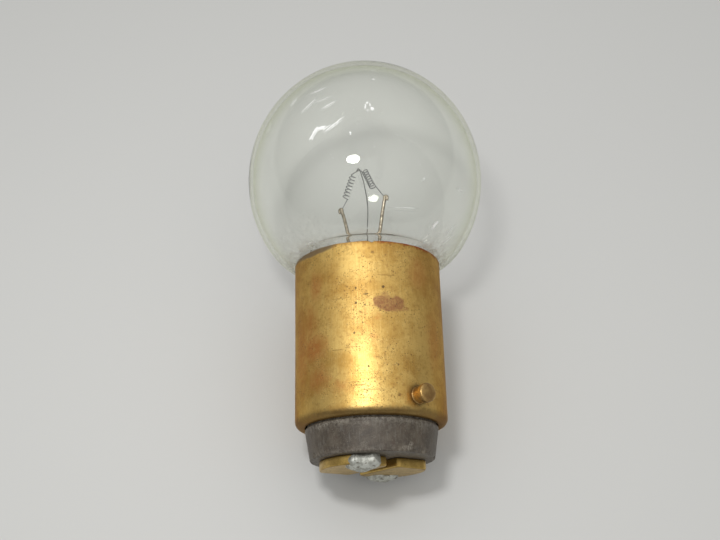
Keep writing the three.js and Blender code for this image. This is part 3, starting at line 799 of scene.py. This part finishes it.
def shell_dents(point):
    """The shell with slight waves and dents, and a nick in its upper rim."""
    azimuth = math.degrees(math.atan2(point.x, point.z))
    wave = 0.035 * noise.noise(Vector((point.x, point.y * 0.6, point.z)) * 0.16)
    wave += 0.008 * noise.noise(point * 0.9)
    for pin in PIN_AZIMUTHS:
        turn = (azimuth - pin + 180) % 360 - 180
        away = math.hypot(math.radians(turn) * SHELL_RADIUS, point.y - PIN_HEIGHT)
        wave -= 0.07 * (1 - ease(away, 1.1, 2.0))
    nick = (1 - ease(abs(azimuth - 3.2), 0.8, 2.2)) * ease(point.y, SHELL_TOP - 0.9, SHELL_TOP)
    scale = 1 + wave / math.hypot(point.x, point.z)
    top = 0.05 * noise.noise(point * 0.5) * ease(point.y, SHELL_TOP - 0.5, SHELL_TOP)
    return Vector((point.x * scale, point.y + top - 0.16 * nick, point.z * scale))


def base_shell(material):
    """Brass tube whose lower edge is rolled in under the insulator."""
    corner = (SHELL_RADIUS - SHELL_ROLL, SHELL_BOTTOM + SHELL_ROLL)
    inner = SHELL_ROLL - SHELL_WALL
    inner_radius = SHELL_RADIUS - SHELL_WALL
    half_wall, edge, rows = SHELL_WALL / 2, 0.14, 60
    lip = (SHELL_LIP + half_wall, SHELL_BOTTOM + half_wall)
    wall = [SHELL_BOTTOM + SHELL_ROLL + (SHELL_TOP - SHELL_ROLL - edge) * i / rows for i in range(1, rows)]
    profile = [
        *arc(lip, (half_wall,) * 2, 180, 270, 6),
        *arc(corner, (SHELL_ROLL,) * 2, -90, 0, 14),
        *[(SHELL_RADIUS, y) for y in wall],
        *arc((SHELL_RADIUS - edge, SHELL_TOP - edge), (edge, edge), 0, 90, 4),
        *arc((inner_radius + edge, SHELL_TOP - edge), (edge, edge), 90, 180, 4),
        *[(inner_radius, y) for y in reversed(wall)],
        *arc(corner, (inner, inner), 0, -90, 10),
        *arc(lip, (half_wall,) * 2, 90, 150, 4),
    ]
    tube = turned(profile, SHELL_SEGMENTS, closed=True)
    add_piece("shell", reshaped(tube, shell_dents), material, "base_shell")


def bayonet_pin(number, azimuth, material):
    """Turned pin with a swelled, domed head and a flange inside the shell."""
    foot, flange, neck = 9.15, PIN_RADIUS * 1.25, PIN_END - 0.75
    profile = [
        (0, foot), (flange, foot), (flange, foot + 0.25), (PIN_RADIUS, foot + 0.35),
        *arc((PIN_RADIUS + 0.18, SHELL_RADIUS + 0.2), (0.18, 0.22), 240, 180, 4),
        (PIN_RADIUS, neck - 0.1),
        *arc((PIN_HEAD - 0.15, neck + 0.12), (0.15, 0.2), -60, 0, 5),
        *arc((PIN_HEAD - 0.22, PIN_END - 0.24), (0.22, 0.2), 0, 78, 6),
        (PIN_HEAD * 0.5, PIN_END - 0.012), (0, PIN_END),
    ]
    outwards = Matrix.Rotation(math.radians(azimuth), 4, "Y") @ Matrix.Rotation(math.radians(90), 4, "X")
    place = Matrix.Translation((0, PIN_HEIGHT, 0)) @ outwards
    pin = reshaped(turned(profile, SMALL_SEGMENTS), lambda p: place @ p)
    add_piece(f"pin_{number}", pin, material, f"bayonet_pin_{number}")


def plug_wear(point):
    """The plug with an uneven skin and small chips along its lower edge."""
    distance = math.hypot(point.x, point.z)
    if distance < ON_AXIS:
        return point
    skin = 0.02 * noise.noise(point * 1.3) + 0.012 * noise.noise(point * 4)
    near_edge = (1 - ease(point.y, PLUG_BOTTOM + 0.1, PLUG_BOTTOM + 0.9)) * ease(distance, 7.3, 8.0)
    chip = ease(noise.noise(point * 0.9 + Vector((8.3, 0, 2.7))), 0.22, 0.5)
    scale = 1 + (skin - 0.22 * chip * near_edge) / distance
    return Vector((point.x * scale, point.y + 0.16 * chip * near_edge, point.z * scale))


def insulator(material):
    """Moulded plug that closes the shell, held by its rolled edge."""
    bevel, round_top, rows = 0.22, 0.24, 28
    low, high = PLUG_BOTTOM + bevel, PLUG_COLLAR_HEIGHT
    widening, rise = PLUG_COLLAR - PLUG_LOWER, high - low
    profile = [
        (0, PLUG_BOTTOM),
        *[(r, PLUG_BOTTOM) for r in (2, 4, 5.5, 6.5, 7.2, 7.5)],
        *arc((PLUG_LOWER - bevel, low), (bevel, bevel), -90, 0, 6),
        *[(PLUG_LOWER + widening * i / rows, low + rise * i / rows) for i in range(1, rows)],
        *arc((PLUG_COLLAR - round_top, high), (round_top, round_top), 0, 90, 6),
        (PLUG_RADIUS, high + round_top), (PLUG_RADIUS, PLUG_STEP),
        (PLUG_SHOULDER, PLUG_STEP), (PLUG_SHOULDER, PLUG_TOP), (0, PLUG_TOP),
    ]
    plug = reshaped(turned(profile, PLUG_SEGMENTS), plug_wear)
    add_piece("insulator_plug", plug, material, "insulator")


def contact_outline(inset):
    """Corners of the D-shaped plate, rounded; +Y faces away from the lamp's axis."""
    arc_radius, half = CONTACT_ARC - inset, CONTACT_HALF - inset
    chord, corner = CONTACT_CHORD + inset, CONTACT_CORNER
    side_top = math.sqrt(arc_radius**2 - half**2)
    start = math.degrees(math.acos(half / arc_radius) + corner / arc_radius)
    shoulder = arc((0, 0), (arc_radius,) * 2, start, 180 - start, 28)
    right = quadratic((half, side_top - corner), (half, side_top), shoulder[0], 6)
    left = quadratic(shoulder[-1], (-half, side_top), (-half, side_top - corner), 6)
    lower_left = quadratic((-half, chord + corner), (-half, chord), (-half + corner, chord), 6)
    lower_right = quadratic((half - corner, chord), (half, chord), (half, chord + corner), 6)
    return [*right, *shoulder[1:-1], *left, *lower_left, *lower_right]


def contact_plate(number, azimuth, material):
    """Brass contact plate with rounded edges and a slightly uneven face."""
    edge = 0.22
    rounding = arc((0, 0), (1, 1), 90, 0, 5)
    levels = [(0.6, 0), (0.12, 0), *((edge * (1 - c), edge * (1 - d)) for c, d in rounding)]
    layers = [(inset, CONTACT_TOP - depth) for inset, depth in levels]
    layers += [(inset, CONTACT_FACE + depth) for inset, depth in reversed(levels)]
    turn = Matrix.Rotation(math.radians(azimuth), 4, "Y")
    middle = (CONTACT_ARC + CONTACT_CHORD) / 2
    sections = [[Vector((0, CONTACT_TOP, middle))]]
    for inset, height in layers:
        sections.append([Vector((x, height, y)) for x, y in contact_outline(inset)])
    sections.append([Vector((0, CONTACT_FACE - 0.03, middle))])
    plate = reshaped(lofted(sections), lambda p: turn @ (p + Vector((0, 0.015 * noise.noise(p * 1.1), 0))))
    add_piece(f"contact_{number}", plate, material, f"contact_plate_{number}")


def solder_lump(number, azimuth, material):
    """Lump of solder on the wire's end, run over the plate's edge."""
    exit_azimuth = azimuth + WIRE_EXIT_TURN
    outward = around(exit_azimuth, 1, 0)
    sideways = around(exit_azimuth + 90, 1, 0)
    middle = around(exit_azimuth, WIRE_EXIT_RADIUS, CONTACT_FACE + 0.1)
    rows, columns = 56, 88
    sections = []
    for i in range(rows + 1):
        polar = math.pi * i / rows
        ring = []
        for k in range(1 if i in (0, rows) else columns):
            angle = 2 * math.pi * k / columns
            flat = math.sin(polar)
            ray = Vector((flat * math.cos(angle), flat * math.sin(angle), -math.cos(polar)))
            skin = solder_skin(ray, number)
            point = middle + sideways * skin.x + outward * skin.y + Vector((0, skin.z, 0))
            point.y = min(max(point.y, SOLDER_FACE), PLUG_BOTTOM)
            ring.append(point)
        sections.append(ring)
    add_piece(f"solder_{number}", lofted(sections), material, f"contact_solder_{number}")


def solder_skin(ray, seed):
    """Where a ray from the lump's middle leaves its softly joined blobs."""
    reach = 0.0
    for *centre, radius in SOLDER_BLOBS:
        along = Vector(centre).dot(ray)
        inside = radius**2 - (Vector(centre).length_squared - along**2)
        if inside > 0:
            far = max(along + math.sqrt(inside), 0)
            reach = (reach**5 + far**5) ** 0.2
    reach = min(reach, 2.4)
    point = ray * reach
    shifted = point + Vector((seed * 5, 0, 0))
    crease = 1 - ease(abs(point.x - 0.35 + 0.5 * point.y), 0.0, 0.22)
    point += ray * (0.15 * noise.noise(shifted * 1.1) + 0.02 * noise.noise(shifted * 3.1) - 0.1 * crease)
    return Vector((point.x, point.y, point.z * (0.62 if point.z < 0 else 1)))


def basing_cement(material):
    """Ring of cement between the glass neck and the shell."""
    inner, outer, top, rows = NECK_RADIUS + 0.02, CEMENT_RADIUS, CEMENT_TOP, 12
    profile = [
        (inner, CEMENT_BOTTOM),
        *[(outer, CEMENT_BOTTOM + (top - CEMENT_BOTTOM) * i / rows) for i in range(rows)],
        (outer, top), (outer - 0.25, top), (outer - 0.5, top - 0.3),
        (inner + 0.15, top - 0.95), (inner, top - 1.2),
    ]
    ring = turned(profile, RING_SEGMENTS, closed=True)
    add_piece("cement", reshaped(ring, crumbled), material, "basing_cement")


def crumbled(point):
    """The top of the cement, broken unevenly."""
    crumbs = 0.12 * ease(point.y, CEMENT_TOP - 2, CEMENT_TOP - 1) * noise.noise(point * 2.2)
    return point + Vector((0, crumbs, 0))


# ---- glass ----


def bulb_outline():
    """Outside of the bulb from the neck's end up to the globe's top."""
    sine = (SHOULDER_TOP - GLOBE_CENTRE) / GLOBE_HALF
    angle = math.asin(sine)
    start = (GLOBE_RADIUS * math.cos(angle), SHOULDER_TOP)
    down = Vector((GLOBE_RADIUS * sine, -GLOBE_HALF * math.cos(angle))).normalized()
    pulled = tuple(Vector(start) + down * SHOULDER_PULL)
    lower = quadratic((NECK_RADIUS, NECK_TOP), SHOULDER_TURN, SHOULDER_EDGE, 14)
    upper = quadratic(SHOULDER_EDGE, pulled, start, 12)
    globe = arc((0, GLOBE_CENTRE), (GLOBE_RADIUS, GLOBE_HALF), math.degrees(angle), 90, 84)
    neck = [(NECK_RADIUS, NECK_BOTTOM + (NECK_TOP - NECK_BOTTOM) * i / 8) for i in range(8)]
    points = [*neck, *lower, *upper[1:], *globe[1:]]
    points[-1] = (0, points[-1][1])
    return points


def inner_outline(outline):
    """The outline moved inwards by the wall, which thins towards the globe."""
    moved = []
    for i, point in enumerate(outline):
        before = Vector(outline[max(i - 1, 0)])
        after = Vector(outline[min(i + 1, len(outline) - 1)])
        along = (after - before).normalized()
        if i == len(outline) - 1:
            along = Vector((-1, 0))
        wall = GLASS_WALL + 0.12 * (1 - ease(point[1], 22, 34))
        moved.append((max(point[0] - wall * along.y, 0), point[1] + wall * along.x))
    moved[-1] = (0, moved[-1][1])
    return moved


def glass_globe(material):
    """Blown bulb: globe and neck in one wall, its inside slightly wavy."""
    outside = bulb_outline()
    points, outer_faces = turned(outside, RING_SEGMENTS)
    inner_points, inner_faces = turned(inner_outline(outside), RING_SEGMENTS)
    first = len(points)
    edges = [range(start, start + RING_SEGMENTS) for start in (first, 0)]
    faces = tube_faces(edges, False) + outer_faces
    faces += [[first + i for i in reversed(face)] for face in inner_faces]
    for p in inner_points:
        wave = 0.02 * noise.noise(p * 0.16)
        points.append(p + (p - Vector((0, GLOBE_CENTRE, 0))).normalized() * wave)
    add_piece("globe", (points, faces), material, "glass_bulb", sharp=80)


def stem(material):
    """Glass stem: a flared tube pinched flat at the top round the wires."""
    flare, tube, wall = 7.8, 4.0, 1.0
    rim, tube_bottom, pinch, press_bottom = 8.4, 13.4, 15.8, 19.2
    half_width, half_thick, round_top, corners, rows = 4.3, 1.5, 1.2, 96, 30
    shoulder = PRESS_TOP - round_top
    sections = []

    def section(wide, thick, power, height):
        ring = []
        for i in range(corners):
            angle = 2 * math.pi * i / corners
            x, z = math.sin(angle), math.cos(angle)
            along = wide * math.copysign(abs(x) ** (2 / power), x)
            out = thick * math.copysign(abs(z) ** (2 / power), z)
            ring.append(in_mount(along, height, out))
        return ring

    for radius, height in arc((flare, tube_bottom), (flare - tube, tube_bottom - rim + wall), -90, -180, 16):
        sections.append(section(radius, radius, 2, height))
    for i in range(1, rows + 1):
        height = tube_bottom + (shoulder - tube_bottom) * i / rows
        share = ease(height, pinch, press_bottom)
        wide = tube + (half_width - tube) * share
        thick = tube + (half_thick - tube) * share
        sections.append(section(wide, thick, 2 + 1.6 * share, height))
    for x, y in arc((0, shoulder), (1, round_top), 0, 80, 8)[1:]:
        sections.append(section(half_width - round_top * (1 - x), half_thick * (0.25 + 0.75 * x), 3.6, y))
    sections.append([Vector((0, PRESS_TOP, 0))])
    inner = [section(flare - 0.05, flare - 0.05, 2, rim + 0.05)]
    hollow = arc((flare, tube_bottom), (flare - tube + wall, tube_bottom - rim), -90, -180, 12)
    for radius, height in hollow[1:]:
        inner.append(section(radius, radius, 2, height))
    inner.append(section(tube - wall, tube - wall, 2, pinch))
    inner.append(section(tube - wall - 0.1, 1.4, 2, pinch + 1.6))
    inner.append([Vector((0, pinch + 2.2, 0))])
    add_piece("stem_flare", lofted([*reversed(inner), *sections]), material, "stem")


def exhaust_tube(material):
    """Thin tube under the press, drawn to a melted tip."""
    low, high, radius = extent("exhaust_tube")
    bore = radius - 0.5
    profile = [
        (0, low),
        *arc((0, low + 0.25), (0.42, 0.25), -75, 0, 6),
        (0.62, low + 0.9), (1.05, low + 1.7), (radius, low + 2.6), (radius, high - 0.2),
        *arc(((radius + bore) / 2, high - 0.2), ((radius - bore) / 2, 0.2), 0, 180, 8),
        (bore, low + 2.9), (bore * 0.5, low + 2.0), (0, low + 1.6),
    ]
    add_piece("pump_tube", turned(profile, SMALL_SEGMENTS), material, "exhaust_tube")


# ---- wires and filament ----


def lead_along(lead, height):
    """How far along the mount the inner lead's axis is at a height."""
    share = min(max((height - PRESS_TOP) / (LEAD_TIP - PRESS_TOP), 0), 1)
    return lead.press + (lead.tip - lead.press) * share


def lead_thickness(share):
    """The lead is pinched a little flatter where it holds the filament."""
    return LEAD_RADIUS * (1 - 0.25 * ease(share, 0.82, 0.95))


def inner_lead(lead, material):
    """Stiff lead, its tip folded outwards over the filament's end."""
    heights = [LEAD_FOOT, 24.4, PRESS_TOP + 0.3, 28, 30.5]
    points = [in_mount(lead_along(lead, h), h) for h in heights]
    fold = [(0, -0.45), (0.03, -0.1), (0.19, 0.05), (0.38, -0.05), (0.45, -0.27), (0.43, -0.55)]
    points += [in_mount(lead.tip + lead.side * x, LEAD_TIP + y) for x, y in fold]
    wire = swept(smooth_path(points, SHORT_STEPS), lead_thickness, LEAD_SIDES)
    add_piece(f"inner_lead_{lead.number}", wire, material, f"lead_inner_{lead.number}")


def seal_lead(lead, material):
    """Short wire that the press is sealed on to."""
    path = [in_mount(lead.press, SEAL_BOTTOM + (SEAL_TOP - SEAL_BOTTOM) * i / 12) for i in range(13)]
    wire = swept(path, SEAL_RADIUS, WIRE_SIDES)
    add_piece(f"seal_wire_{lead.number}", wire, material, f"lead_seal_{lead.number}")


def outer_lead(lead, azimuth, material):
    """Soft lead from the press down to its contact."""
    straight = [around(azimuth + WIRE_EXIT_TURN, WIRE_EXIT_RADIUS, y) for y in OUTER_HEIGHTS]
    bend, top = in_mount(lead.press, OUTER_BEND), in_mount(lead.press, OUTER_TOP)
    path = smooth_path([*straight, bend, bend.lerp(top, 0.5), top])
    wire = swept(path, LEAD_RADIUS, WIRE_SIDES)
    add_piece(f"outer_lead_{lead.number}", wire, material, f"lead_outer_{lead.number}")


def support_wire(material):
    """Dark wire whose hook holds up the filament."""
    path = smooth_path([in_mount(*point) for point in SUPPORT_ROUTE])
    wire = swept(path, SUPPORT_RADIUS, WIRE_SIDES)
    add_piece("support", wire, material, "support_wire")


def coil_points(start, end):
    """Points of one coil of the filament."""
    first, last = in_mount(*start), in_mount(*end)
    axis = last - first
    side = around(MOUNT_AZIMUTH - 90, 1, 0)
    across = side.cross(axis).normalized()
    per_turn = 26
    count = round(COIL_TURNS * per_turn)
    points = []
    for i in range(count + 1):
        angle = 2 * math.pi * (0.5 + i / per_turn)
        share = i / count + 0.008 * noise.noise(Vector((i * 0.05, start[0], 0)))
        offset = across * math.cos(angle) + side * math.sin(angle)
        points.append(first + axis * share + offset * COIL_RADIUS)
    return points


def leg_end(lead):
    """Where a filament leg ends, pinched in its lead's folded tip."""
    return in_mount(lead.tip + lead.side * 0.21, LEAD_TIP - 0.3)


def leg(start, end):
    """Path of a filament leg."""
    return smooth_path([start, start.lerp(end, 0.5), end], SHORT_STEPS)


def filament(material):
    """One wire: a leg, a coil up, the bridge in the hook, a coil down, a leg."""
    left, right = LEADS
    up, down = (coil_points(*ends) for ends in COILS)
    first_leg, last_leg = leg(leg_end(left), up[0]), leg(down[-1], leg_end(right))
    bridge = smooth_path([up[-2], up[-1], in_mount(*FILAMENT_APEX), down[0], down[1]])
    bridge = bridge[WIRE_STEPS : 3 * WIRE_STEPS + 1]  # between the two coils
    path = [*first_leg[:-1], *up[:-1], *bridge, *down[1:], *last_leg[1:]]
    wire = swept(path, FILAMENT_WIRE, FILAMENT_SIDES)
    add_piece("tungsten_filament", wire, material, "filament")


# ---- assembly ----


def build_lamp():
    pin_brass = dull_brass("pin_brass", (0.52, 0.33, 0.12), (0.33, 0.19, 0.07), 0.45)
    contact_brass = dull_brass("contact_brass", (0.58, 0.40, 0.12), (0.44, 0.29, 0.085), 0.4)
    solder = solder_material()
    base_shell(shell_brass())
    insulator(plug_material())
    basing_cement(cement_material())
    glass_globe(globe_glass())
    stem_glass = stem_glass_material()
    stem(stem_glass)
    exhaust_tube(stem_glass)
    for number, azimuth in enumerate(PIN_AZIMUTHS, 1):
        bayonet_pin(number, azimuth, pin_brass)
    for number, azimuth in enumerate(CONTACT_AZIMUTHS, 1):
        contact_plate(number, azimuth, contact_brass)
        solder_lump(number, azimuth, solder)
    nickel, copper, seal, molybdenum, tungsten = (wire_metal(name) for name in WIRES)
    for lead in LEADS:
        inner_lead(lead, nickel)
        seal_lead(lead, seal)
        outer_lead(lead, CONTACT_AZIMUTHS[lead.number - 1], copper)
    support_wire(molybdenum)
    filament(tungsten)


build_lamp()


def make_floor():
    """Plain pale floor under the lamp."""
    mesh = bpy.data.meshes.new("floor")
    corners = [(x * FLOOR_HALF, y * FLOOR_HALF, 0) for x, y in ((-1, -1), (1, -1), (1, 1), (-1, 1))]
    mesh.from_pydata(corners, [], [(0, 1, 2, 3)])
    s = Shader("floor")
    s.surface(Base_Color=FLOOR_COLOUR, Roughness=FLOOR_ROUGHNESS)
    mesh.materials.append(s.material)
    floor = add_object("floor", mesh)


make_floor()
